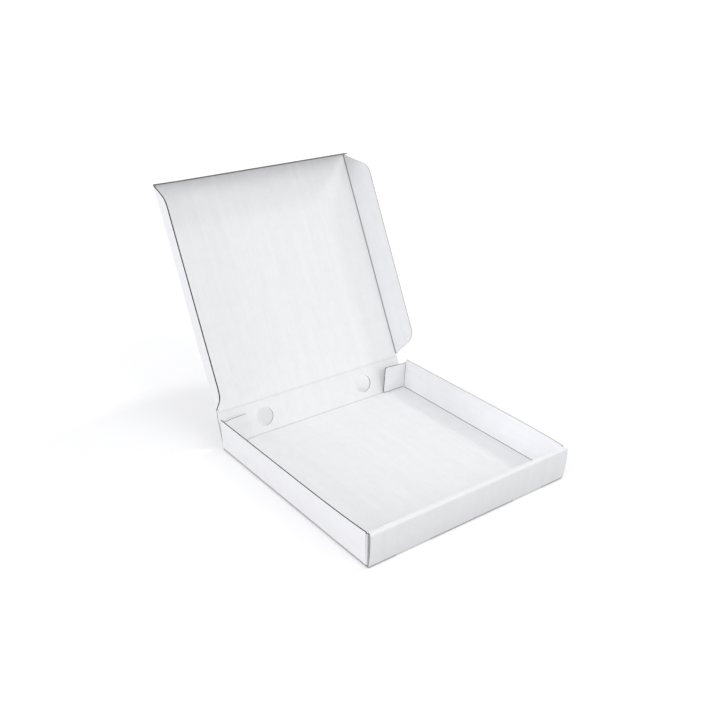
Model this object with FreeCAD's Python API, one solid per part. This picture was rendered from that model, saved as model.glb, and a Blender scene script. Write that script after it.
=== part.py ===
import FreeCAD, Part
import math
import os

V = FreeCAD.Vector

# One-piece folded box of white corrugated board, standing open, in millimetres.
# The origin is the middle of the tray's underside. +X is the box's right, +Y the hinge side, +Z up.

# Board and creases
BOARD = 1.5                      # thickness of the fine-flute board
CREASE_RADIUS = 0.6              # inside radius of a pressed crease
FOLD_GAP = 0.5                   # air left at a fold between a swinging panel and the panel it hangs on
FIT_GAP = 0.3                    # air between panels that slide past each other
SAME_POINT = 0.001               # corners closer than this are one corner

# Tray
INSIDE_WIDTH = 300.0             # between the side walls
INSIDE_DEPTH = 305.0             # between the rear wall and the inner front panel
WALL_TOP = 44.0                  # height of the side walls and of the front wall's rolled top
FRONT_LEAN = 3.0                 # how far the outer front panel's top leans out past its foot
WEDGE_GAP = 1.5                  # air between the outer front panel's foot and the trapped tabs
TRAPPED_TAB_LENGTH = 60.0        # side wall tabs that are trapped inside the double front wall
TRAPPED_TAB_MARGIN = 0.5         # below the rolled top and above the base
TRAPPED_TAB_ROOT = 6.0           # along the side wall, where a trapped tab grows out of it
LOCK_TAB_WIDTH = 47.0            # tabs of the inner front panel that lock it to the base
LOCK_TAB_SPACING = 178.0         # between the two lock tabs' middles
LOCK_TAB_FOOT = 0.3              # height of a lock tab's tip above the underside
SLOT_CLEARANCE = 0.5             # play of a lock tab in its slot

# Corner tabs behind the side walls
CORNER_TAB_LENGTH = 37.5         # from the side wall's inside face
CORNER_TAB_FLOOR_GAP = 1.0       # above the base
CORNER_TAB_DROP_FOLD = 5.0       # below the side wall's top, at the fold
CORNER_TAB_DROP_TIP = 3.0        # below the side wall's top, at the free end
CORNER_TAB_RADIUS = 3.0          # of the free end's corners

# Rear wall
REAR_SIDE_GAP = 0.5              # the rear wall is narrower than the tray's inside at each end
REAR_LEAN = 18.1                 # degrees back from upright, as the open box stands
LID_HEADROOM = 2.25              # from the side walls' top up to the closed lid's underside at the hinge
VENT_DIAMETER = 25.0
VENT_SPACING = 164.0             # between the two vents' middles
VENT_HEIGHT = 22.75              # along the wall, from its bottom fold

# Lid
LID_LEAN = 26.2                  # degrees back from upright, as the open box stands
LID_SIDE_CLEARANCE = 0.4         # between the closed lid's tucked flaps and each side wall
LID_FRONT_CLEARANCE = 3.0        # between the closed lid's front flap and the inner front panel
FLAP_FLOOR_GAP = 5.25            # from the base up to a tucked side flap's edge
FRONT_FLAP_FLOOR_GAP = 8.0       # from the base up to the tucked front flap's edge
LEFT_FLAP_SPLAY = 8.0            # degrees outwards from square to the lid, as the open box stands
RIGHT_FLAP_SPLAY = 12.5          # degrees, as the open box stands
FRONT_FLAP_OVERFOLD = 11.0       # degrees folded past square
SIDE_FLAP_HINGE_TAPER = 24.0     # degrees that a side flap's hinge end slopes in from square
SIDE_FLAP_FRONT_TAPER = 34.0     # degrees that its front end slopes in
SIDE_FLAP_RADIUS = 20.0          # of its two outer corners
SIDE_FLAP_HINGE_RELIEF = 3.5     # cut back from the hinge at the flap's fold
SIDE_FLAP_FRONT_RELIEF = 1.5     # cut back from the lid's front fold
FRONT_FLAP_TAPER = 27.5          # degrees that both ends of the front flap slope in from square
FRONT_FLAP_RADIUS = 5.0          # of its two outer corners

# Worked out from the values above
HALF = BOARD / 2.0
EDGE_SETBACK = HALF + FOLD_GAP
FRONT_FOOT = BOARD + WEDGE_GAP + BOARD + FIT_GAP + BOARD
OUTSIDE_WIDTH = INSIDE_WIDTH + 2.0 * BOARD
OUTSIDE_DEPTH = BOARD + INSIDE_DEPTH + FRONT_FOOT
X_INSIDE = INSIDE_WIDTH / 2.0
X_OUTSIDE = OUTSIDE_WIDTH / 2.0
Y_BACK = OUTSIDE_DEPTH / 2.0
Y_FRONT = -OUTSIDE_DEPTH / 2.0
Y_TABS = Y_FRONT + BOARD + WEDGE_GAP
Y_INNER_PANEL = Y_FRONT + FRONT_FOOT
Y_TRAY_END = Y_BACK - BOARD - FOLD_GAP
Y_CORNER_TAB = Y_TRAY_END - BOARD
Z_HINGE_CLOSED = WALL_TOP + LID_HEADROOM + HALF
REAR_LENGTH = Z_HINGE_CLOSED - HALF
LID_LENGTH = (Y_BACK - HALF) - Y_INNER_PANEL - LID_FRONT_CLEARANCE - HALF
X_FLAP_AXIS = X_INSIDE - LID_SIDE_CLEARANCE - HALF
SIDE_FLAP_DEPTH = Z_HINGE_CLOSED - BOARD - FLAP_FLOOR_GAP
FRONT_FLAP_DEPTH = Z_HINGE_CLOSED - BOARD - FRONT_FLAP_FLOOR_GAP


def along(angle):
    """Direction, in the YZ plane, of a panel that leans back by an angle from upright."""
    return V(0, math.sin(math.radians(angle)), math.cos(math.radians(angle)))


def across(angle):
    """The same panel's inward direction, square to its face."""
    return V(0, -math.cos(math.radians(angle)), math.sin(math.radians(angle)))


REAR_FOLD = V(0, Y_BACK - HALF, HALF)
LID_HINGE = REAR_FOLD + along(REAR_LEAN) * REAR_LENGTH
FRONT_FOLD = LID_HINGE + along(LID_LEAN) * LID_LENGTH


def rounded_outline(corners):
    """Closed wire in the XY plane through corners (x, y, radius); a radius of 0 is sharp."""
    count = len(corners)
    edges = []
    ends = []
    for i in range(count):
        here = V(corners[i][0], corners[i][1], 0)
        radius = corners[i][2]
        back = V(corners[i - 1][0], corners[i - 1][1], 0) - here
        on = V(corners[(i + 1) % count][0], corners[(i + 1) % count][1], 0) - here
        back.normalize()
        on.normalize()
        if radius <= 0:
            ends.append((here, here))
            continue
        half_angle = back.getAngle(on) / 2.0
        reach = radius / math.tan(half_angle)
        middle = back + on
        middle.normalize()
        top = here + middle * (radius / math.sin(half_angle) - radius)
        ends.append((here + back * reach, here + on * reach))
        edges.append(Part.Arc(here + back * reach, top, here + on * reach).toShape())
    for i in range(count):
        start = ends[i][1]
        end = ends[(i + 1) % count][0]
        if (end - start).Length > SAME_POINT:
            edges.append(Part.LineSegment(start, end).toShape())
    return Part.Wire(Part.__sortEdges__(edges))


def bent_sheet(corners, place, sweep):
    """Board folded along a line of corners (a, b), with rounded creases, and swept along a vector.

    The corners are the board's mid-line. Each side of the outline runs half a board away from it,
    and at a crease the two sides are arcs about one centre.
    """
    radius = CREASE_RADIUS + HALF
    points = [V(a, b, 0) for a, b in corners]
    sides = {1: [], -1: []}
    outset = points[1] - points[0]
    outset.normalize()
    first = {s: points[0] + V(-outset.y, outset.x, 0) * (s * HALF) for s in sides}
    last = dict(first)
    for i in range(1, len(points)):
        way = points[i] - points[i - 1]
        way.normalize()
        normal = V(-way.y, way.x, 0)
        if i == len(points) - 1:
            for s in sides:
                end = points[i] + normal * (s * HALF)
                sides[s].append(Part.LineSegment(place(last[s]), place(end)))
                last[s] = end
            continue
        onward = points[i + 1] - points[i]
        onward.normalize()
        turn = 1 if way.x * onward.y - way.y * onward.x > 0 else -1
        reach = radius * math.tan(way.getAngle(onward) / 2.0)
        enter = points[i] - way * reach
        leave = points[i] + onward * reach
        centre = enter + normal * (turn * radius)
        bulge = (enter - centre) + (leave - centre)
        bulge.normalize()
        for s in sides:
            arc_radius = radius - turn * s * HALF
            start = centre + (enter - centre).normalize() * arc_radius
            middle = centre + bulge * arc_radius
            end = centre + (leave - centre).normalize() * arc_radius
            sides[s].append(Part.LineSegment(place(last[s]), place(start)))
            sides[s].append(Part.Arc(place(start), place(middle), place(end)))
            last[s] = end
    edges = [curve.toShape() for s in sides for curve in sides[s]]
    edges.append(Part.LineSegment(place(first[1]), place(first[-1])).toShape())
    edges.append(Part.LineSegment(place(last[1]), place(last[-1])).toShape())
    return Part.Face(Part.Wire(Part.__sortEdges__(edges))).extrude(sweep)


def block(x, y, z):
    """Box between two limits on each axis."""
    return Part.makeBox(x[1] - x[0], y[1] - y[0], z[1] - z[0], V(x[0], y[0], z[0]))


def panel(corners, fold):
    """Flat panel cut to an outline, with a rounded edge along its fold, from x fold[0] to fold[1] at y 0."""
    plate = Part.Face(rounded_outline(corners)).extrude(V(0, 0, BOARD))
    plate.translate(V(0, 0, -HALF))
    edge = Part.makeCylinder(HALF, fold[1] - fold[0], V(fold[0], 0, 0), V(1, 0, 0))
    return plate.fuse(edge).removeSplitter()


def set_up(shape, origin, x_way, y_way):
    """Place a panel so that its own x and y run along the given directions from the origin."""
    z_way = x_way.cross(y_way)
    matrix = FreeCAD.Matrix(x_way.x, y_way.x, z_way.x, origin.x,
                            x_way.y, y_way.y, z_way.y, origin.y,
                            x_way.z, y_way.z, z_way.z, origin.z,
                            0, 0, 0, 1)
    placed = shape.copy()
    placed.transformShape(matrix, True)
    return placed


def base_and_side_walls():
    """Base with a side wall folded up along each side, as one bent sheet."""
    fold_end = Y_TABS + CREASE_RADIUS + BOARD
    corners = [(-X_OUTSIDE + HALF, WALL_TOP), (-X_OUTSIDE + HALF, HALF),
               (X_OUTSIDE - HALF, HALF), (X_OUTSIDE - HALF, WALL_TOP)]
    return bent_sheet(corners, lambda p: V(p.x, fold_end, p.y), V(0, Y_TRAY_END - fold_end, 0))


def rolled_front_wall():
    """Outer front panel folded up, rolled over at the top and down again inside to the base."""
    lap = Y_INNER_PANEL + BOARD
    corners = [(lap, HALF), (Y_FRONT + HALF, HALF), (Y_FRONT - FRONT_LEAN + HALF, WALL_TOP - HALF),
               (Y_INNER_PANEL - HALF, WALL_TOP - HALF), (Y_INNER_PANEL - HALF, BOARD + FIT_GAP)]
    wall = bent_sheet(corners, lambda p: V(-X_OUTSIDE, p.x, p.y), V(OUTSIDE_WIDTH, 0, 0))
    # the inner panel and the roll's rear half fit between the side walls
    for side in (-1, 1):
        near = side * (X_INSIDE - FIT_GAP)
        far = side * (X_OUTSIDE + BOARD)
        wall = wall.cut(block((min(near, far), max(near, far)), (Y_TABS - FIT_GAP, lap + BOARD),
                              (BOARD, WALL_TOP + BOARD)))
    return wall


def lock_slot(side):
    """Space of one slot, cut through the front crease and the base behind it."""
    middle = side * LOCK_TAB_SPACING / 2.0
    half_slot = LOCK_TAB_WIDTH / 2.0 + SLOT_CLEARANCE
    return block((middle - half_slot, middle + half_slot),
                 (Y_FRONT - BOARD, Y_INNER_PANEL + FIT_GAP), (-BOARD, BOARD))


def lock_tab(side):
    """Tab on the inner front panel's lower edge, which goes down into its slot."""
    middle = side * LOCK_TAB_SPACING / 2.0
    half_tab = LOCK_TAB_WIDTH / 2.0
    return block((middle - half_tab, middle + half_tab),
                 (Y_INNER_PANEL - BOARD, Y_INNER_PANEL), (LOCK_TAB_FOOT, BOARD + FIT_GAP + BOARD))


def trapped_tab(side):
    """Front end of a side wall, folded in behind the outer front panel."""
    x_wall = side * (X_OUTSIDE - HALF)
    corners = [(x_wall, Y_TABS + TRAPPED_TAB_ROOT), (x_wall, Y_TABS + HALF), (x_wall - side * TRAPPED_TAB_LENGTH, Y_TABS + HALF)]
    low = BOARD + TRAPPED_TAB_MARGIN
    high = WALL_TOP - BOARD - TRAPPED_TAB_MARGIN
    return bent_sheet(corners, lambda p: V(p.x, p.y, low), V(0, 0, high - low))


def tray():
    """Base, side walls, trapped tabs and double front wall: the part of the sheet whose folds are locked."""
    body = base_and_side_walls().fuse(rolled_front_wall())
    for side in (-1, 1):
        body = body.cut(lock_slot(side))
        body = body.fuse(lock_tab(side))
        body = body.fuse(trapped_tab(side))
    return body.removeSplitter()


def corner_tab(side):
    """Back end of a side wall, folded in across the rear wall."""
    x_fold = side * (X_INSIDE - FOLD_GAP)
    x_tip = side * (X_INSIDE - CORNER_TAB_LENGTH)
    bottom = BOARD + CORNER_TAB_FLOOR_GAP
    corners = [(x_fold, bottom, 0), (x_tip, bottom, CORNER_TAB_RADIUS),
               (x_tip, WALL_TOP - CORNER_TAB_DROP_TIP, CORNER_TAB_RADIUS),
               (x_fold, WALL_TOP - CORNER_TAB_DROP_FOLD, 0)]
    flat = Part.Face(rounded_outline(corners)).extrude(V(0, 0, BOARD))
    return set_up(flat, V(0, Y_CORNER_TAB + BOARD, 0), V(1, 0, 0), V(0, 0, 1))


def rear_wall():
    """Wall that leans back from the base's rear fold, with two round vent holes, and carries the lid."""
    half_width = X_INSIDE - REAR_SIDE_GAP
    top = REAR_LENGTH - EDGE_SETBACK
    corners = [(-half_width, 0, 0), (half_width, 0, 0), (half_width, top, 0), (-half_width, top, 0)]
    wall = panel(corners, (-half_width, half_width))
    for side in (-1, 1):
        hole = V(side * VENT_SPACING / 2.0, VENT_HEIGHT, -BOARD)
        wall = wall.cut(Part.makeCylinder(VENT_DIAMETER / 2.0, 2.0 * BOARD, hole))
    return set_up(wall, REAR_FOLD, V(1, 0, 0), along(REAR_LEAN))


def lid_panel():
    """Flat top of the lid, from the hinge to the front flap's fold."""
    half_width = X_FLAP_AXIS - EDGE_SETBACK
    front = LID_LENGTH - EDGE_SETBACK
    corners = [(-half_width, 0, 0), (half_width, 0, 0), (half_width, front, 0), (-half_width, front, 0)]
    return set_up(panel(corners, (-half_width, half_width)), LID_HINGE, V(1, 0, 0), along(LID_LEAN))


def tapered_flap(start, end, depth, start_taper, end_taper, radius):
    """Flap with sloping ends and rounded outer corners, from start to end along its fold."""
    start_inset = depth * math.tan(math.radians(start_taper))
    end_inset = depth * math.tan(math.radians(end_taper))
    corner = min(radius, depth / 2.0)
    corners = [(start, 0, 0), (end, 0, 0), (end - end_inset, depth, corner), (start + start_inset, depth, corner)]
    return panel(corners, (start, end))


def lid_side_flap(side, splay):
    """Flap along one side of the lid, standing a little wider than square."""
    flap = tapered_flap(SIDE_FLAP_HINGE_RELIEF, LID_LENGTH - SIDE_FLAP_FRONT_RELIEF, SIDE_FLAP_DEPTH,
                        SIDE_FLAP_HINGE_TAPER, SIDE_FLAP_FRONT_TAPER, SIDE_FLAP_RADIUS)
    angle = math.radians(splay)
    way = across(LID_LEAN) * math.cos(angle) + V(side, 0, 0) * math.sin(angle)
    return set_up(flap, LID_HINGE + V(side * X_FLAP_AXIS, 0, 0), along(LID_LEAN), way)


def lid_front_flap():
    """Tuck flap along the lid's front edge, folded a little past square."""
    half_width = X_FLAP_AXIS + HALF
    flap = tapered_flap(-half_width, half_width, FRONT_FLAP_DEPTH,
                        FRONT_FLAP_TAPER, FRONT_FLAP_TAPER, FRONT_FLAP_RADIUS)
    angle = math.radians(FRONT_FLAP_OVERFOLD)
    way = across(LID_LEAN) * math.cos(angle) - along(LID_LEAN) * math.sin(angle)
    return set_up(flap, FRONT_FOLD, V(1, 0, 0), way)


nodes = {
    "tray": tray(),
    "left_corner_tab": corner_tab(-1),
    "right_corner_tab": corner_tab(1),
    "rear_wall": rear_wall(),
    "lid_panel": lid_panel(),
    "lid_left_flap": lid_side_flap(-1, LEFT_FLAP_SPLAY),
    "lid_right_flap": lid_side_flap(1, RIGHT_FLAP_SPLAY),
    "lid_front_flap": lid_front_flap(),
}

os.makedirs("parts", exist_ok=True)
for name, shape in nodes.items():
    shape.exportStep(os.path.join("parts", name + ".step"))
    print(name, len(shape.Solids), "solid", round(shape.Volume, 1), "mm3")
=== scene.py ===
"""A one-piece folded takeaway box of white fine-flute board, standing open on a pale floor."""
import math
import bpy
import numpy as np
from mathutils import Matrix, Vector


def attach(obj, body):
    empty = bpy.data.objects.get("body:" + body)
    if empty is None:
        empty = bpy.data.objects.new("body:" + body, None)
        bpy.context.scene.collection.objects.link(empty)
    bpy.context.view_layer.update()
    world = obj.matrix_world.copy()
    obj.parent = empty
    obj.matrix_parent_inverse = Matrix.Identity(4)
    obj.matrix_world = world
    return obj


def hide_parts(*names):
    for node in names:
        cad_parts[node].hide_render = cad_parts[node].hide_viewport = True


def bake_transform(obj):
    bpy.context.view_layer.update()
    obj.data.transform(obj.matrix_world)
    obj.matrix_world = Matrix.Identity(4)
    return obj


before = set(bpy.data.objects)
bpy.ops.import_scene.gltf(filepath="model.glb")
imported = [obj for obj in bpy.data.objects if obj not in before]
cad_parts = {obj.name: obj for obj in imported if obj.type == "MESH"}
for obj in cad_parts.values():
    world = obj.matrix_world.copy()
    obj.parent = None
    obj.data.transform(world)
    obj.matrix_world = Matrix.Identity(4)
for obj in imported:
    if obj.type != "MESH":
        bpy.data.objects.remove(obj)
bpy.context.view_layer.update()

MM = 0.001

# The board
# The whole box is one die-cut sheet of fine-flute board: two thin white liners with a brown wavy
# medium glued between them, its flutes running from the front of the box to the back.
BOARD = 1.5 * MM
HALF = BOARD / 2
LINER = 0.22 * MM
MEDIUM = 0.14 * MM
FLUTE_PITCH = 3.3 * MM
STEPS_PER_FLUTE = 8
WHITE, RAW = 0, 1


def no_painted_shade(s, t, h):
    """Liner with no painted shade."""
    return 0.0


def painted_fold_line(at, half_width, depth, side):
    """Painted shade along a crease, about t = at: depth * exp(-(gap / half width)^2).

    side is 1 or -1 for one face of the board, and 0 for both.
    """
    def painted_shade_and_stain_at(s, t, h):
        return np.where(side * h >= 0, depth * np.exp(-((t - at) / half_width) ** 2), 0.0)
    return painted_shade_and_stain_at


class Sheet:
    """Gathers the plies of one piece of board, and then makes them one mesh.

    A ply is a closed thin shell on a grid of s, across the flutes, by t, along them. Its two faces
    lie at two heights from the board's middle, and rims close it all round.
    """

    def __init__(self, name):
        self.name = name
        self.points = []
        self.sheet_uv = []
        self.faces = []
        self.marks = []
        self.painted_shade_and_stain = []
        self.count = 0

    def ply(self, place, s, t, under, over, face_marks, painted_shade_and_stain_at, stain):
        """Shell between heights under and over at every (s, t), with a mark for each face and one for rims.

        painted_shade_and_stain_at gives each face's painted shade, or the medium's stain, and stain how dark
        the rims are.
        """
        rows, columns = s.shape
        low = place(s, t, under)
        high = place(s, t, over)
        number = np.arange(rows * columns).reshape(rows, columns)
        quads = np.stack([number[:-1, :-1], number[1:, :-1], number[1:, 1:], number[:-1, 1:]], -1)
        quads = quads.reshape(-1, 4)
        loop = np.concatenate([number[:-1, 0], number[-1, :-1], number[:0:-1, -1], number[0, :0:-1]])
        onward = np.roll(loop, -1)
        total = rows * columns
        rims = np.stack([loop, onward, onward + total, loop + total], -1)
        faces = np.concatenate([quads[:, ::-1], quads + total, rims])
        points = np.concatenate([low.reshape(-1, 3), high.reshape(-1, 3)])
        # a shell whose signed volume is negative is inside out, so its faces are turned round
        a, b, c, d = (points[faces[:, k]] - points[0] for k in range(4))
        volume = np.sum(a * np.cross(b, c)) + np.sum(a * np.cross(c, d))
        if volume < 0:
            faces = faces[:, ::-1]
        marks = np.repeat(face_marks, [len(quads), len(quads), len(rims)])
        flat = np.stack([s, t], -1).reshape(-1, 2)
        painted_shade_and_stain = np.concatenate([np.broadcast_to(painted_shade_and_stain_at(s, t, height), s.shape).ravel()
                                  for height in (under, over)])
        shade = painted_shade_and_stain[faces]
        shade[2 * len(quads):] = stain
        self.painted_shade_and_stain.append(shade)
        self.points.append(points)
        self.sheet_uv.append(np.concatenate([flat, flat]))
        self.faces.append(faces + self.count)
        self.marks.append(marks)
        self.count += 2 * total

    def grid(self, values, low, high, cells):
        """Every (s, t) of a patch whose t runs from low(s) to high(s) at each s."""
        share = np.linspace(0.0, 1.0, cells + 1)
        first = low(values)[:, None]
        last = high(values)[:, None]
        return np.repeat(values[:, None], cells + 1, 1), first + (last - first) * share

    def stretch(self, place, values, low, high, cells=24, painted_shade_and_stain_at=no_painted_shade, stain=0.55, rim=RAW):
        """Board across s = values, between t = low(s) and t = high(s): both liners and the medium.

        stain is how dark its cut edges are: 0 is pale, 1 is dark, and a little more hides the speckle. A
        rim marked WHITE keeps the liner's own tone.
        """
        s, t = self.grid(values, low, high, cells)
        rim_stain = 0.0 if rim == WHITE else stain
        self.ply(place, s, t, HALF - LINER, HALF, (RAW, WHITE, rim), painted_shade_and_stain_at, rim_stain)
        self.ply(place, s, t, -HALF, LINER - HALF, (WHITE, RAW, rim), painted_shade_and_stain_at, rim_stain)
        waves = max(2, int(round((values[-1] - values[0]) / FLUTE_PITCH * STEPS_PER_FLUTE)))
        values = np.union1d(values, np.linspace(values[0], values[-1], waves))
        s, t = self.grid(values, low, high, max(2, cells // 3))
        wave = (HALF - LINER - MEDIUM / 2) * np.sin(2 * math.pi * s / FLUTE_PITCH)
        self.ply(place, s, t, wave - MEDIUM / 2, wave + MEDIUM / 2, (RAW, RAW, RAW),
                 lambda s, t, h: stain, stain)

    def finish(self, body=None, *nodes):
        """One mesh object of all the plies, with the sheet's own (s, t) in metres as its UV map."""
        points = np.concatenate(self.points)
        faces = np.concatenate(self.faces)
        mesh = bpy.data.meshes.new(self.name)
        mesh.from_pydata(points, [], faces)
        uv = mesh.uv_layers.new(name="sheet")
        uv.data.foreach_set("uv", np.concatenate(self.sheet_uv)[faces.ravel()].ravel())
        mesh.materials.append(white_liner)
        mesh.materials.append(raw_fluting)
        mesh.polygons.foreach_set("material_index", np.concatenate(self.marks))
        # this attribute carries the painted shade of creases and feet, and the stain of cut edges
        shades = mesh.attributes.new("painted_shade_and_stain", "FLOAT", "CORNER")
        shades.data.foreach_set("value", np.concatenate(self.painted_shade_and_stain).ravel())
        mesh.update()
        piece = bpy.data.objects.new(self.name, mesh)
        bpy.context.scene.collection.objects.link(piece)
        if body:
            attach(piece, body)
        if nodes:
            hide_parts(*nodes)
        return piece


class Wire:
    """An output of a shader node. Sums, differences and products of wires add their Math nodes."""

    def __init__(self, wiring, socket):
        self.wiring = wiring
        self.socket = socket

    def math(self, operation, a, b):
        return self.wiring.node("ShaderNodeMath", {"operation": operation}, {0: a, 1: b})

    def __add__(self, other):
        return self.math("ADD", self, other)

    def __radd__(self, other):
        return self.math("ADD", other, self)

    def __sub__(self, other):
        return self.math("SUBTRACT", self, other)

    def __rsub__(self, other):
        return self.math("SUBTRACT", other, self)

    def __mul__(self, other):
        return self.math("MULTIPLY", self, other)

    def __rmul__(self, other):
        return self.math("MULTIPLY", other, self)


class Wiring:
    """The node tree of a material or of the world."""

    def __init__(self, tree):
        self.tree = tree

    def node(self, kind, settings, inputs, output=0):
        """A node of that kind, its settings made first, then its sockets' values or wires."""
        made = self.tree.nodes.new(kind)
        for name, value in settings.items():
            setattr(made, name, value)
        for name, value in inputs.items():
            if isinstance(value, Wire):
                self.tree.links.new(value.socket, made.inputs[name])
            else:
                made.inputs[name].default_value = value
        return Wire(self, made.outputs[output])

    def mix(self, factor, a, b):
        """Colour between a and b."""
        return self.node("ShaderNodeMix", {"data_type": "RGBA"}, {0: factor, 6: a, 7: b}, 2)


class Finish(Wiring):
    """A material in the making, around one Principled shader."""

    def __init__(self, name, roughness, specular):
        self.material = bpy.data.materials.new(name)
        self.material.use_nodes = True
        super().__init__(self.material.node_tree)
        self.shader = self.tree.nodes["Principled BSDF"]
        self.shader.inputs["Roughness"].default_value = roughness
        self.shader.inputs["Specular IOR Level"].default_value = specular

    def feed(self, name, wire):
        self.tree.links.new(wire.socket, self.shader.inputs[name])


# White liner
# The coated paper on both faces of the board: matt and faintly mottled, with the flutes telegraphing through
# it as a washboard. Painted shade greys it in every crease, and painted contact shadow greys it where the box
# stands on the floor.
WHITE_DULL = (0.80, 0.803, 0.813, 1.0)
WHITE_BRIGHT = (0.88, 0.882, 0.889, 1.0)
# grey of the painted shade in creases and of the painted contact shadow at the feet
PAINTED_SHADE_GREY = (0.11, 0.095, 0.10, 1.0)
paper = Finish("white_liner", roughness=0.62, specular=0.35)
sheet_place = paper.node("ShaderNodeUVMap", {"uv_map": "sheet"}, {})
object_place = paper.node("ShaderNodeTexCoord", {}, {}, 3)


def drawn_out(across_scale, along_scale, detail):
    """Noise that is stretched along the flutes."""
    place = paper.node("ShaderNodeMapping", {},
                       {"Vector": sheet_place, "Scale": (across_scale, along_scale, 1.0)})
    return paper.node("ShaderNodeTexNoise", {}, {"Vector": place, "Scale": 1.0, "Detail": detail})


across = paper.node("ShaderNodeSeparateXYZ", {}, {0: sheet_place}, 0)
washboard = paper.node("ShaderNodeMath", {"operation": "SINE"}, {0: across * (2 * math.pi / FLUTE_PITCH)})
cloud = paper.node("ShaderNodeTexNoise", {},
                   {"Vector": object_place, "Scale": 70.0, "Detail": 5.0, "Roughness": 0.65})
fibre = paper.node("ShaderNodeTexNoise", {},
                   {"Vector": object_place, "Scale": 900.0, "Detail": 3.0, "Roughness": 0.7})
streaks = drawn_out(260.0, 9.0, 3.0)
bands = drawn_out(95.0, 2.5, 2.0)
tone = ((cloud - 0.5) * 0.8 + (streaks - 0.5) * 0.6 + (bands - 0.5) * 0.6 + washboard * 0.13
        + (fibre - 0.5) * 0.3 + 0.5)
# painted shade and painted contact shadow: the attribute greys the liner in creases and along the feet
painted_shade = paper.node("ShaderNodeAttribute", {"attribute_name": "painted_shade_and_stain"}, {}, 2)
clean = paper.mix(tone, WHITE_DULL, WHITE_BRIGHT)
paper.feed("Base Color", paper.mix(painted_shade, clean, PAINTED_SHADE_GREY))
relief = washboard * (0.016 * MM) + (streaks - 0.5) * (0.05 * MM) + (fibre - 0.5) * (0.03 * MM)
paper.feed("Normal", paper.node("ShaderNodeBump", {}, {"Strength": 1.0, "Distance": 1.0, "Height": relief}))
white_liner = paper.material

# Raw fluting
# The brown recycled medium and the liners' backs, which show wherever the sheet was cut. A cut edge
# darkens with the stain that its piece is given.
KRAFT_PALE = (0.66, 0.61, 0.57, 1.0)
KRAFT_DARK = (0.035, 0.018, 0.01, 1.0)
kraft = Finish("raw_fluting", roughness=0.9, specular=0.15)
kraft_place = kraft.node("ShaderNodeTexCoord", {}, {}, 3)
speckle = kraft.node("ShaderNodeTexNoise", {}, {"Vector": kraft_place, "Scale": 700.0, "Detail": 3.0})
stained = kraft.node("ShaderNodeAttribute", {"attribute_name": "painted_shade_and_stain"}, {}, 2)
kraft.feed("Base Color", kraft.mix(stained + (speckle - 0.5) * 0.4, KRAFT_PALE, KRAFT_DARK))
raw_fluting = kraft.material

# Base and side walls
# The tray's floor and its two side walls, one panel creased along two flutes. Each wall's top is a
# raw cut. The walls lean out a little behind the front wall, which holds their front ends upright.
INSIDE_WIDTH = 300 * MM
INSIDE_DEPTH = 305 * MM
WALL_TOP = 44 * MM
CREASE = 0.6 * MM + HALF
FRONT_FOOT = 4.8 * MM            # depth of the double front wall at its foot, 1.5 mm less than in the solids
X_WALL = INSIDE_WIDTH / 2 + HALF
Y_BACK = (INSIDE_DEPTH + BOARD + FRONT_FOOT) / 2
Y_FRONT = -Y_BACK
Y_TABS = Y_FRONT + 3 * MM        # front face of the tabs trapped in the front wall
Y_INNER = Y_FRONT + FRONT_FOOT   # rear face of the inner front panel
Y_TAB_FOLD = Y_BACK - BOARD - 2 * MM
LEFT_LEAN = 3.6 * MM
RIGHT_LEAN = 4.6 * MM
LEAN_ONSET = 0.15                # share of the depth over which a side wall begins to lean
LEAN_RETURN = 0.35               # share of the lean that is gone again at the back
# painted shade inside the side walls' creases, and painted contact shadow where their outer faces meet the
# floor
CREASE_SHADE = 0.85
CREASE_BLUR = 1.3 * MM           # half width of the painted shade in a crease
CONTACT_SHADE = 1.5
CONTACT_BLUR = 0.75 * MM           # half width of the painted contact shadow where the box stands on the floor
CONTACT_SHIFT = 0.2 * MM           # from the middle of the crease, up the wall
SLOT_HALF = 24 * MM
SLOT_SPACING = 178 * MM
SLOT_PLAY = 0.3 * MM
REAR_STRIP = 3 * MM              # the base's rear margin, which belongs to the rear crease's strip
WALL_CELL = 4 * MM               # mesh cells on walls, on large panels, in creases and along the flutes
PANEL_CELL = 5 * MM
CREASE_CELL = 0.25 * MM
CELLS_ALONG = 60


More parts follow.
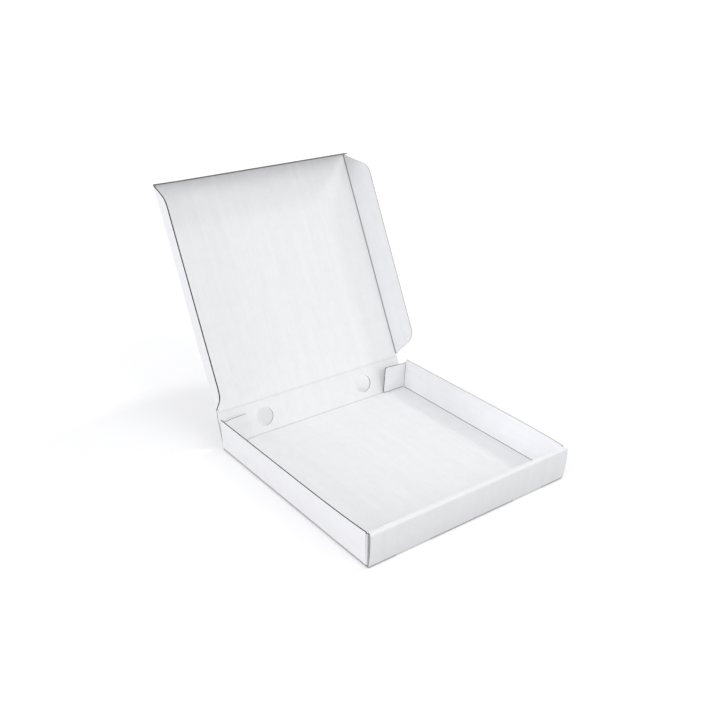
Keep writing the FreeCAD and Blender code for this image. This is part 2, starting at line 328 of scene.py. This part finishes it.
class FoldedLine:
    """A line of straight runs with rounded corners, as (place, normal) at any distance along it."""

    def __init__(self, corners, radius):
        corners = np.array(corners, float)
        ways = np.diff(corners, axis=0)
        lengths = np.linalg.norm(ways, axis=1)
        ways = ways / lengths[:, None]
        self.runs = []
        at = 0.0
        start = corners[0]
        for i, way in enumerate(ways):
            end = corners[i + 1]
            turn = 0.0
            if i + 1 < len(ways):
                onward = ways[i + 1]
                turn = math.atan2(way[0] * onward[1] - way[1] * onward[0], way @ onward)
                end = end - way * radius * math.tan(abs(turn) / 2)
            length = np.linalg.norm(end - start)
            self.runs.append((at, at + length, start, way, 0.0))
            at += length
            if turn:
                self.runs.append((at, at + radius * abs(turn), end, way, turn))
                at += radius * abs(turn)
                start = corners[i + 1] + ways[i + 1] * radius * math.tan(abs(turn) / 2)
        self.length = at
        self.radius = radius

    def at(self, s):
        """Each run is a line, or an arc swept from its start by the share of its turn."""
        s = np.asarray(s, float)
        spot = np.zeros(s.shape + (2,))
        side = np.zeros(s.shape + (2,))
        for k, (begin, end, start, way, turn) in enumerate(self.runs):
            inside = (s >= begin) | (k == 0)
            gone = (s - begin)[..., None]
            left = np.array([-way[1], way[0]])
            if turn:
                angle = turn * gone / (end - begin)
                radius = self.radius * np.sign(turn)
                here = start + radius * (way * np.sin(angle) + left * (1 - np.cos(angle)))
                normal = left * np.cos(angle) - way * np.sin(angle)
            else:
                here = start + way * gone
                normal = left + 0 * gone
            spot = np.where(inside[..., None], here, spot)
            side = np.where(inside[..., None], normal, side)
        return spot, side

    def corner(self, number):
        """Distances along the line where a rounded corner begins and ends."""
        arcs = [run for run in self.runs if run[4]]
        return arcs[number][0], arcs[number][1]


tray_section = FoldedLine([(-X_WALL, WALL_TOP), (-X_WALL, HALF), (X_WALL, HALF), (X_WALL, WALL_TOP)], CREASE)


def wall_lean(x, y, z):
    """How far a side wall leans out: most * height share * (1 - exp(-back / onset)) * (1 - return * back).

    back is 0 at the front, where the front wall holds the side wall upright, and 1 at the back.
    """
    back = np.clip((y - Y_FRONT) / (Y_BACK - Y_FRONT), 0, 1)
    most = np.where(x < 0, -LEFT_LEAN, RIGHT_LEAN)
    return most * np.clip(z / WALL_TOP, 0, 1) * (1 - np.exp(-back / LEAN_ONSET)) * (1 - LEAN_RETURN * back)


def tray_place(s, t, h):
    """Across the section by s and h and back by t, with the walls leaning out."""
    spot, side = tray_section.at(s)
    x = spot[..., 0] + side[..., 0] * h
    z = spot[..., 1] + side[..., 1] * h
    lean = np.where(np.abs(spot[..., 0]) > X_WALL - CREASE, wall_lean(x, t, z), 0.0)
    return np.stack([x + lean, t + 0 * x, z], -1)


def spread(start, end, gap):
    """Evenly spaced values about a gap apart."""
    return np.linspace(start, end, max(2, int(math.ceil(abs(end - start) / gap)) + 1))


def level(value):
    """The same limit for every s."""
    return lambda s: np.full_like(s, value)


base_sheet = Sheet("tray_base_and_side_walls")
left_crease, right_crease = tray_section.corner(0), tray_section.corner(1)
crease_away = (right_crease[0] + right_crease[1] - tray_section.length) / 2
floor_middle = tray_section.length / 2
wall_front = Y_TABS + HALF + CREASE
floor_front = Y_FRONT + HALF + CREASE
# each side wall, its crease and how dark the wall's cut top is
for wall, crease, stain in (((0, left_crease[0]), left_crease, 1.15),
                            ((right_crease[1], tray_section.length), right_crease, 0.2)):
    fold_middle = (crease[0] + crease[1]) / 2

    def painted_shade_and_stain_at(s, t, h):
        """Painted shade inside the fold, and painted contact shadow outside where it stands on the floor."""
        away = np.abs(s - floor_middle) - crease_away - CONTACT_SHIFT
        contact_shadow = np.clip(CONTACT_SHADE * np.exp(-(away / CONTACT_BLUR) ** 2), 0, 1)
        return np.where(h > 0, CREASE_SHADE * np.exp(-((s - fold_middle) / CREASE_BLUR) ** 2), contact_shadow)

    base_sheet.stretch(tray_place, spread(*wall, WALL_CELL), level(wall_front), level(Y_TAB_FOLD),
                       CELLS_ALONG, no_painted_shade, stain)
    base_sheet.stretch(tray_place, spread(*crease, CREASE_CELL), level(floor_front), level(Y_TAB_FOLD),
                       CELLS_ALONG, painted_shade_and_stain_at)
slot_edges = [-(SLOT_SPACING / 2 + SLOT_HALF), -(SLOT_SPACING / 2 - SLOT_HALF),
              SLOT_SPACING / 2 - SLOT_HALF, SLOT_SPACING / 2 + SLOT_HALF]
floor_edges = [left_crease[1]] + [floor_middle + x for x in slot_edges] + [right_crease[0]]
for k, (start, end) in enumerate(zip(floor_edges[:-1], floor_edges[1:])):
    slotted = k in (1, 3)
    front = Y_INNER + SLOT_PLAY if slotted else floor_front
    base_sheet.stretch(tray_place, spread(start, end, PANEL_CELL), level(front), level(Y_BACK - REAR_STRIP),
                       CELLS_ALONG)
base_sheet.finish("tray", "tray")

# Front wall
# The outer front panel stands on the base's front crease, rolls over at the top and comes down again
# inside. Two tabs on its lower edge lock in the slots at the front crease.
FRONT_LEAN = 3 * MM
FRONT_BOW = 1.4 * MM
BOW_AT_ENDS = 0.6                # share of the bow that is the same over the whole width
BOW_NARROWING = 1.2              # radians of cosine from the wall's middle to its ends
FRONT_CORNER = 3 * MM            # radius of the roll's outer corners
NICK = 3.2 * MM                  # width of the nick at the foot's right end
NICK_SLOPE = 1.3
SLOT_SHARE = 0.45                # of the foot's crease that a slot cuts away
# painted contact shadow along the foot's crease: its strength and half width
FOOT_SHADE = 1.7
FOOT_BLUR = 0.7 * MM
FLOOR_GAP = 0.3 * MM             # from a lock tab's tip down to the floor
LOCK_TAB_LENGTH = 1.7 * MM
LOCK_TAB_HALF = 23.5 * MM
ROLL_LIP = 1.2 * MM              # how far the roll goes on above a side wall's end
INNER_HALF = INSIDE_WIDTH / 2 - SLOT_PLAY
ROUND_CELLS = 90                 # mesh cells up, over and down the wall
HAIR = 0.001 * MM                # keeps a stretch's ends on its own side of a change of outline
front_section = FoldedLine([(Y_INNER + BOARD, HALF), (Y_FRONT + HALF, HALF),
                            (Y_FRONT - FRONT_LEAN + HALF, WALL_TOP - HALF),
                            (Y_INNER - HALF, WALL_TOP - HALF), (Y_INNER - HALF, FLOOR_GAP)], CREASE)
front_foot, front_roll = front_section.corner(0), front_section.corner(1)
x_end = X_WALL + HALF


def front_place(s, t, h):
    """Up, over and down the front wall's section by t, with the outer panel bowed forward."""
    spot, side = front_section.at(t)
    share = np.clip((t - front_foot[1]) / (front_roll[0] - front_foot[1]), 0, 1)
    fullness = BOW_AT_ENDS + (1 - BOW_AT_ENDS) * np.cos(s / X_WALL * BOW_NARROWING)
    bow = FRONT_BOW * np.sin(math.pi * share) * fullness
    y = spot[..., 0] + side[..., 0] * h - bow
    return np.stack([s + 0 * y, y, spot[..., 1] + side[..., 1] * h], -1)


def near_lock(s, half_width):
    """Whether s lies within a half width of either lock tab's middle."""
    return np.abs(np.abs(s) - SLOT_SPACING / 2) < half_width


def front_start(s):
    """Bottom of the outer panel: in the base's plane, but higher at the slots and the nicked corner."""
    arc = front_foot[1] - front_foot[0]
    nick = np.clip(s - (x_end - NICK), 0, None)
    return front_foot[0] + np.where(near_lock(s, SLOT_HALF), SLOT_SHARE * arc, NICK_SLOPE * nick)


def front_painted_shadow(s, t, h):
    """Painted contact shadow on the bottom crease where it stands on the floor, but not where a slot cuts it
    away.
    """
    gap = t - (front_foot[0] + front_foot[1]) / 2
    contact_shadow = np.clip(FOOT_SHADE * np.exp(-(gap / FOOT_BLUR) ** 2), 0, 1)
    return np.where((h > 0) & ~near_lock(s, SLOT_HALF), contact_shadow, 0.0)


def front_end(s):
    """Where the sheet stops: on the roll above the side walls, else at the inner panel's foot."""
    on_roll = front_roll[1] + ROLL_LIP
    past = np.clip(np.abs(s) - (x_end - FRONT_CORNER), 0, FRONT_CORNER) / FRONT_CORNER
    rounded = on_roll - FRONT_CORNER * (1 - np.sqrt(np.clip(1 - past ** 2, 0, 1)))
    foot = front_section.length - LOCK_TAB_LENGTH
    inner = np.where(near_lock(s, LOCK_TAB_HALF), front_section.length, foot)
    return np.where(np.abs(s) > INNER_HALF, rounded, inner)


front_sheet = Sheet("tray_front_wall")
breaks = [INNER_HALF, SLOT_SPACING / 2 + SLOT_HALF, SLOT_SPACING / 2 + LOCK_TAB_HALF,
          SLOT_SPACING / 2 - LOCK_TAB_HALF, SLOT_SPACING / 2 - SLOT_HALF]
edges = np.array([-x_end] + [-b for b in breaks] + breaks[::-1] + [x_end])
edges = np.sort(np.append(edges, x_end - NICK))
for a, b in zip(edges[:-1], edges[1:]):
    values = spread(a + HAIR, b - HAIR, WALL_CELL if b - a > WALL_CELL else CREASE_CELL)
    front_sheet.stretch(front_place, values, front_start, front_end, ROUND_CELLS, front_painted_shadow, rim=WHITE)
front_sheet.finish("tray")

# Trapped tabs
# The front ends of the side walls, folded in between the front wall's two panels, which hold them. They
# show only through the double wall's open ends.
TRAPPED_LENGTH = 60 * MM
TRAPPED_MARGIN = 0.5 * MM
TRAPPED_CELLS = 80
tab_low = BOARD + TRAPPED_MARGIN
tab_high = WALL_TOP - BOARD - TRAPPED_MARGIN
for side, word in ((-1, "left"), (1, "right")):
    tab_line = FoldedLine([(side * X_WALL, wall_front + 0.01 * MM), (side * X_WALL, Y_TABS + HALF),
                           (side * (X_WALL - TRAPPED_LENGTH), Y_TABS + HALF)], CREASE)
    # painted shade on the fold's outer face, in the gap between the side wall and the outer panel, darkest
    # just past its rounded corner
    shade = painted_fold_line(tab_line.corner(0)[1] + 0.5 * MM, CREASE_BLUR, 0.4, side)

    def tab_place(s, t, h):
        """Height s, along the folded tab by t."""
        spot, way = tab_line.at(t)
        x = spot[..., 0] + way[..., 0] * h
        y = spot[..., 1] + way[..., 1] * h
        return np.stack([x, y, s + 0 * x], -1)

    tab_sheet = Sheet("tray_trapped_tab_" + word)
    tab_sheet.stretch(tab_place, spread(tab_low, tab_high, WALL_CELL), level(0.0), level(tab_line.length),
                      TRAPPED_CELLS, shade)
    tab_sheet.finish("tray")

# Corner tabs
# The back ends of the side walls, folded in square across the rear wall. Each has a radiused tip and
# swings on a crease that is its own piece, blended between the wall and the tab.
TAB_LENGTH = 37.5 * MM
TAB_ROOT = 2 * MM
TAB_FOOT = BOARD + 1 * MM
TAB_RADIUS = 3 * MM
TAB_DROP_FOLD = 5 * MM
TAB_DROP_TIP = 3 * MM
TAB_CREASE_REACH = 1.5 * MM      # how far the crease's own piece reaches back along the side wall
BLEND_REACH = 0.4 * MM
Y_TAB = Y_BACK - BOARD - 0.5 * MM - HALF
X_INSIDE = INSIDE_WIDTH / 2


def eased(start, end, count):
    """Values that lie closer together near both ends, so that a rounded corner is smooth."""
    share = (1 - np.cos(np.linspace(0, math.pi, count))) / 2
    return start + (end - start) * share


# each side and how dark the tab's cut edges are: the right tab's are darker, partly painted shade of the gap
# between its free edge and the rear wall
for side, word, stain in ((-1, "left", 0.4), (1, "right", 0.9)):
    fold = (side * X_INSIDE, Y_TAB - HALF)
    quarter = HALF * math.pi / 2

    def corner_place(s, t, h):
        """Height s, t inwards from the fold line, round a quarter turn about the fold's inside corner."""
        angle = np.clip((t + quarter) / quarter, 0, 1) * math.pi / 2
        radius = HALF + h
        before, after = np.minimum(t + quarter, 0), np.maximum(t, 0)
        x = fold[0] + side * radius * np.cos(angle) - side * after
        y = fold[1] + radius * np.sin(angle) + before
        return np.stack([x + wall_lean(np.float64(side), Y_TAB_FOLD, s), y + 0 * s, s + 0 * x], -1)

    def tab_start(s):
        """Along the fold, and then along the sloping top edge."""
        slope = np.clip((s - (WALL_TOP - TAB_DROP_FOLD)) / (TAB_DROP_FOLD - TAB_DROP_TIP), 0, 1)
        return TAB_ROOT + slope * (TAB_LENGTH - TAB_RADIUS - TAB_ROOT)

    def tab_tip(s):
        """The free end, with its two corners rounded."""
        bottom = np.clip((TAB_FOOT + TAB_RADIUS - s) / TAB_RADIUS, 0, 1)
        top = np.clip((s - (WALL_TOP - TAB_DROP_TIP - TAB_RADIUS)) / TAB_RADIUS, 0, 1)
        near = np.maximum(bottom, top)
        return TAB_LENGTH - TAB_RADIUS * (1 - np.sqrt(np.clip(1 - near ** 2, 0, 1)))

    values = eased(TAB_FOOT, WALL_TOP - TAB_DROP_TIP, 40)
    tab_sheet = Sheet(word + "_corner_tab")
    tab_sheet.stretch(corner_place, values, tab_start, tab_tip, 24, no_painted_shade, stain)
    tab_sheet.finish(word + "_tab", word + "_corner_tab")
    crease_sheet = Sheet(word + "_corner_crease")
    # painted shade along the inside of the crease
    crease_sheet.stretch(corner_place, spread(TAB_FOOT, WALL_TOP - TAB_DROP_FOLD, WALL_CELL),
                         level(-quarter - TAB_CREASE_REACH), level(TAB_ROOT), 24,
                         painted_fold_line(-quarter / 2, 1.1 * MM, 0.6, -1))
    crease = crease_sheet.finish()
    Y_TAB - HALF - BLEND_REACH
    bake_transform(crease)

# Rear wall
# It stands on the base's rear crease, leans back, and carries the lid. Two round vents are punched
# through it, and its ends are raw cuts.
REAR_LEAN = math.radians(18.1)
REAR_LENGTH = 46.25 * MM
REAR_HALF = X_INSIDE - 0.5 * MM
VENT_RADIUS = 12.5 * MM
VENT_X = 82 * MM
VENT_HEIGHT = 22.75 * MM
FOLD_REACH = 2.5 * MM            # how far a crease's own strip reaches from its fold onto each panel
SIDE_CREASE_CELL = 0.35 * MM
rear_fold = np.array([0.0, Y_BACK - HALF, HALF])


def leaning(angle):
    """Unit directions of a panel leaning back by an angle: up along it, and inwards, square to it."""
    up = np.array([0.0, math.sin(angle), math.cos(angle)])
    inward = np.array([0.0, -math.cos(angle), math.sin(angle)])
    return up, inward


RIGHT = np.array([1.0, 0.0, 0.0])
rear_up, rear_in = leaning(REAR_LEAN)


def flat_place(origin, s_way, t_way, out_way):
    """A flat panel's place function: origin + s * s_way + t * t_way + h * out_way."""
    def place(s, t, h):
        h = h + 0 * s
        return origin + s[..., None] * s_way + t[..., None] * t_way + h[..., None] * out_way
    return place


rear_place = flat_place(rear_fold, RIGHT, rear_up, rear_in)
rear_sheet = Sheet("rear_wall_panel")
bottom, top = FOLD_REACH, REAR_LENGTH - FOLD_REACH
plain = [(-REAR_HALF, -VENT_X - VENT_RADIUS), (-VENT_X + VENT_RADIUS, VENT_X - VENT_RADIUS),
         (VENT_X + VENT_RADIUS, REAR_HALF)]
for a, b in plain:
    rear_sheet.stretch(rear_place, spread(a, b, PANEL_CELL), level(bottom), level(top), 12)
for x in (-VENT_X, VENT_X):
    values = eased(x - VENT_RADIUS, x + VENT_RADIUS, 49)

    def chord(s):
        """Half the height of the round hole at s."""
        return np.sqrt(np.clip(VENT_RADIUS ** 2 - (s - x) ** 2, 0, None))

    rear_sheet.stretch(rear_place, values, level(bottom), lambda s: VENT_HEIGHT - chord(s), 12)
    rear_sheet.stretch(rear_place, values, lambda s: VENT_HEIGHT + chord(s), level(top), 12)
rear_sheet.finish("rear_wall", "rear_wall")


def crease_strip(name, hinge, line_way, reach_a, reach_b, ends, shade,
                 along_flutes=False, nearly_flat=False):
    """Board across a crease: from reach_a on one panel, round the hinge line, to reach_b on the other.

    Painted shade of up to shade darkens the fold's inside, or both faces of one that is nearly flat.
    """
    a_way = reach_a / np.linalg.norm(reach_a)
    corner = np.cross(a_way, line_way)
    line = FoldedLine([(reach @ a_way, reach @ corner) for reach in (reach_a, 0 * reach_a, reach_b)], CREASE)

    def place(s, t, h):
        length, run = (s, t) if not along_flutes else (t, s)
        spot, side = line.at(run)
        turned = spot + side * np.asarray(h)[..., None] if np.ndim(h) else spot + side * h
        return hinge + length[..., None] * line_way + turned[..., :1] * a_way + turned[..., 1:] * corner

    inside = 0 if nearly_flat else -np.sign(reach_b @ corner)
    painted_fold_shade = painted_fold_line(sum(line.corner(0)) / 2, CREASE_BLUR, shade, inside)
    strip = Sheet(name)
    if along_flutes:
        strip.stretch(place, spread(0, line.length, SIDE_CREASE_CELL), level(ends[0]), level(ends[1]),
                      CELLS_ALONG, lambda s, t, h: painted_fold_shade(t, s, h))
    else:
        strip.stretch(place, spread(*ends, PANEL_CELL), level(0.0), level(line.length), 24, painted_fold_shade)
    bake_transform(strip.finish())


FORWARD = np.array([0.0, -1.0, 0.0])
crease_strip("rear_crease", rear_fold, RIGHT, FORWARD * (REAR_STRIP - HALF), rear_up * FOLD_REACH,
             (-REAR_HALF, REAR_HALF), 0.3)

# Lid
# The flat top, hung on the rear wall by a crease that is nearly straight while the box stands open. It
# is slightly warped, as a large panel of board always is.
LID_LEAN = math.radians(26.2)
LID_LENGTH = 302 * MM
LID_WARP = 0.9 * MM
X_FLAP = INSIDE_WIDTH / 2 - 0.4 * MM - HALF
lid_hinge = rear_fold + rear_up * REAR_LENGTH
lid_up, lid_in = leaning(LID_LEAN)
lid_front = lid_hinge + lid_up * LID_LENGTH


def lid_place(s, t, h):
    """The lid's plane, warped by most * sin(length share) * cos(width share), so not at its creases."""
    warp = LID_WARP * np.sin(math.pi * np.clip(t / LID_LENGTH, 0, 1)) * np.cos(math.pi * s / (2 * X_FLAP))
    out = h + warp + 0 * s
    return lid_hinge + s[..., None] * RIGHT + t[..., None] * lid_up + out[..., None] * lid_in


lid_sheet = Sheet("lid_top")
lid_sheet.stretch(lid_place, spread(-X_FLAP + FOLD_REACH, X_FLAP - FOLD_REACH, PANEL_CELL),
                  level(FOLD_REACH), level(LID_LENGTH - FOLD_REACH), CELLS_ALONG)
lid_sheet.finish("lid", "lid_panel")
crease_strip("lid_hinge_crease", lid_hinge, RIGHT, -rear_up * FOLD_REACH, lid_up * FOLD_REACH,
             (-X_FLAP, X_FLAP), 0.11, nearly_flat=True)

# Lid side flaps
# They tuck inside the side walls when the box is shut. Their ends taper, with large rounded corners.
FLAP_DEPTH = 40.25 * MM
HINGE_TAPER = math.tan(math.radians(24))
FRONT_TAPER = math.tan(math.radians(34))
FLAP_RADIUS = 20 * MM
FLAP_START = 3.5 * MM
FLAP_STOP = LID_LENGTH - 1.5 * MM
EDGE_CROWDING = 1.8              # power that brings the mesh lines closer together at the free edge


def tapered(start, sign, taper, depth, radius):
    """Limit of a flap at each depth s: a sloping end that turns by an arc into the free edge."""
    slope = math.atan(taper)
    turn = math.pi / 2 - slope
    reach = radius * math.tan(turn / 2)
    bend = depth - reach * math.cos(slope)
    centre = start + depth * taper + reach

    def limit(s):
        straight = start + s * taper
        rounded = centre - np.sqrt(np.clip(radius ** 2 - (s - (depth - radius)) ** 2, 0, None))
        return sign * np.where(s < bend, straight, rounded)
    return limit


# each side, its splay in degrees, how far its free edge curls and how dark its cut edges are
for side, word, splay, curl, stain in ((-1, "left", 8.0, 2.2 * MM, 1.15),
                                       (1, "right", 12.5, 0.8 * MM, 0.2)):
    angle = math.radians(splay)
    flap_way = lid_in * math.cos(angle) + side * RIGHT * math.sin(angle)
    flap_out = side * RIGHT * math.cos(angle) - lid_in * math.sin(angle)
    flap_fold = lid_hinge + side * RIGHT * X_FLAP

    def flap_place(s, t, h):
        """The flap's plane, curling outwards by the square of the depth s."""
        h = h + curl * (s / FLAP_DEPTH) ** 2
        return flap_fold + s[..., None] * flap_way + t[..., None] * lid_up + h[..., None] * flap_out

    values = FLAP_DEPTH - (FLAP_DEPTH - FOLD_REACH) * (1 - np.linspace(0, 1, 60)) ** EDGE_CROWDING
    low = tapered(FLAP_START, 1, HINGE_TAPER, FLAP_DEPTH, FLAP_RADIUS)
    high = tapered(-FLAP_STOP, -1, FRONT_TAPER, FLAP_DEPTH, FLAP_RADIUS)
    flap_sheet = Sheet("lid_%s_flap_panel" % word)
    flap_sheet.stretch(flap_place, values, low, high, CELLS_ALONG, no_painted_shade, stain)
    flap_sheet.finish(word + "_flap", "lid_%s_flap" % word)
    crease_strip("lid_%s_crease" % word, flap_fold, lid_up, -side * RIGHT * FOLD_REACH, flap_way * FOLD_REACH,
                 (FLAP_START, FLAP_STOP), 0.95, along_flutes=True)

# Lid front flap
# The tuck flap, folded a little past square, so that its raw cut edge faces the front of the box. Both
# its ends slope in to small rounded corners.
FRONT_FLAP_DEPTH = 37.5 * MM
TUCK_TAPER = math.tan(math.radians(27.5))
FRONT_FLAP_RADIUS = 5 * MM
FRONT_FLAP_HALF = X_FLAP + HALF
OVERFOLD = math.radians(11)
tuck_way = lid_in * math.cos(OVERFOLD) - lid_up * math.sin(OVERFOLD)
tuck_out = lid_up * math.cos(OVERFOLD) + lid_in * math.sin(OVERFOLD)
tuck_place = flat_place(lid_front, RIGHT, tuck_way, tuck_out)


def tuck_end(s):
    """Depth of the front flap at each s: its sloping end, an arc and then the free edge."""
    slope = math.atan(1 / TUCK_TAPER)
    reach = FRONT_FLAP_RADIUS * math.tan(slope / 2)
    corner = FRONT_FLAP_HALF - FRONT_FLAP_DEPTH * TUCK_TAPER
    away = np.abs(s)
    sloping = (FRONT_FLAP_HALF - away) / TUCK_TAPER
    centre = corner - reach
    rise = np.sqrt(np.clip(FRONT_FLAP_RADIUS ** 2 - (away - centre) ** 2, 0, None))
    arc = FRONT_FLAP_DEPTH - FRONT_FLAP_RADIUS + rise
    far = corner + reach * math.cos(slope)
    return np.where(away < centre, FRONT_FLAP_DEPTH, np.where(away < far, arc, sloping))


tuck_sheet = Sheet("lid_front_flap_panel")
tip = FRONT_FLAP_HALF - FOLD_REACH * TUCK_TAPER - 10 * HAIR
tuck_sheet.stretch(tuck_place, spread(-tip, tip, 1.5 * MM), level(FOLD_REACH), tuck_end, 30, no_painted_shade, 0.5)
tuck_sheet.finish("front_flap", "lid_front_flap")
crease_strip("lid_front_crease", lid_front, RIGHT, -lid_up * FOLD_REACH, tuck_way * FOLD_REACH,
             (-FRONT_FLAP_HALF, FRONT_FLAP_HALF), 0.4)

# Floor, lamps and camera
# A plain pale floor that keeps the box's soft shadow, in front of a white background. It reaches past
# the picture on every side.
FLOOR_HALF = 20.0
FLOOR_GREY = (0.62, 0.62, 0.62, 1.0)
PLAIN_WHITE = (1.0, 1.0, 1.0, 1.0)
NO_GLOW = (0.0, 0.0, 0.0, 1.0)
FAINT_GLOW = (0.04, 0.04, 0.04, 1.0)
floor_corners = [(x * FLOOR_HALF, y * FLOOR_HALF, 0) for x, y in ((-1, -1), (1, -1), (1, 1), (-1, 1))]
floor_mesh = bpy.data.meshes.new("floor")
floor_mesh.from_pydata(floor_corners, [], [(0, 1, 2, 3)])
floor = bpy.data.objects.new("floor", floor_mesh)
bpy.context.scene.collection.objects.link(floor)
floor_paint = Finish("floor_paint", roughness=0.8, specular=0.0)


def seen_by(wiring):
    """1 for the rays that show a background, which are camera, glossy and transmission rays, else 0."""
    rays = ("Is Camera Ray", "Is Glossy Ray", "Is Transmission Ray")
    camera_ray, glossy_ray, through_ray = (wiring.node("ShaderNodeLightPath", {}, {}, ray) for ray in rays)
    return camera_ray + glossy_ray + through_ray


seen = seen_by(floor_paint)
floor_paint.feed("Base Color", floor_paint.mix(seen, FLOOR_GREY, PLAIN_WHITE))
floor_paint.feed("Emission Color", floor_paint.mix(seen, NO_GLOW, FAINT_GLOW))
floor_paint.shader.inputs["Emission Strength"].default_value = 1.0
floor_mesh.materials.append(floor_paint.material)

world = bpy.data.worlds.new("studio")
world.use_nodes = True
bpy.context.scene.world = world
sky = Wiring(world.node_tree)
plain_light = sky.node("ShaderNodeBackground", {}, {"Color": (0.985, 0.99, 1.0, 1.0), "Strength": 0.79})
white_view = sky.node("ShaderNodeBackground", {}, {"Color": PLAIN_WHITE, "Strength": 1.0})
chosen = sky.node("ShaderNodeMixShader", {}, {0: seen_by(sky), 1: plain_light, 2: white_view})
sky.tree.links.new(chosen.socket, sky.tree.nodes["World Output"].inputs["Surface"])


def sun(name, toward, brightness, angle, colour):
    """A distant lamp, angle degrees wide. A white face square to it gets this brightness."""
    data = bpy.data.lights.new(name, "SUN")
    data.energy = brightness * math.pi
    data.angle = math.radians(angle)
    data.color = colour
    lamp = bpy.data.objects.new(name, data)
    lamp.rotation_euler = Vector(toward).to_track_quat("Z", "Y").to_euler()
    bpy.context.scene.collection.objects.link(lamp)


WARM_WHITE = (1.0, 0.995, 0.985)
sun("front_light", (0.25, -0.80, 0.55), 0.17, 40, WARM_WHITE)
sun("right_light", (0.6, -0.1, 0.75), 0.13, 8, WARM_WHITE)
sun("left_light", (-0.92, -0.15, 0.34), 0.20, 30, (0.93, 0.92, 1.0))
sun("left_back_light", (-0.85, 0.45, 0.12), 0.20, 20, (0.95, 0.94, 1.0))

# The camera stands where the box's own edges in the photograph put it
CAMERA_PLACE = Vector((-0.66405, -0.8104, 0.6394))
CAMERA_TARGET = Vector((0.0039, 0.06667, 0.1176))
CAMERA_ROLL = math.radians(0.545)
FOCAL_PIXELS = 962.0
IMAGE_PIXELS = 720
camera_data = bpy.data.cameras.new("camera")
camera_data.sensor_width = 36.0
camera_data.lens = FOCAL_PIXELS * camera_data.sensor_width / IMAGE_PIXELS
camera = bpy.data.objects.new("camera", camera_data)
aim = (CAMERA_TARGET - CAMERA_PLACE).to_track_quat("-Z", "Y").to_matrix()
camera.matrix_world = Matrix.Translation(CAMERA_PLACE) @ (aim @ Matrix.Rotation(CAMERA_ROLL, 3, "Z")).to_4x4()
bpy.context.scene.collection.objects.link(camera)
bpy.context.scene.camera = camera
bpy.context.scene.view_settings.view_transform = "Standard"
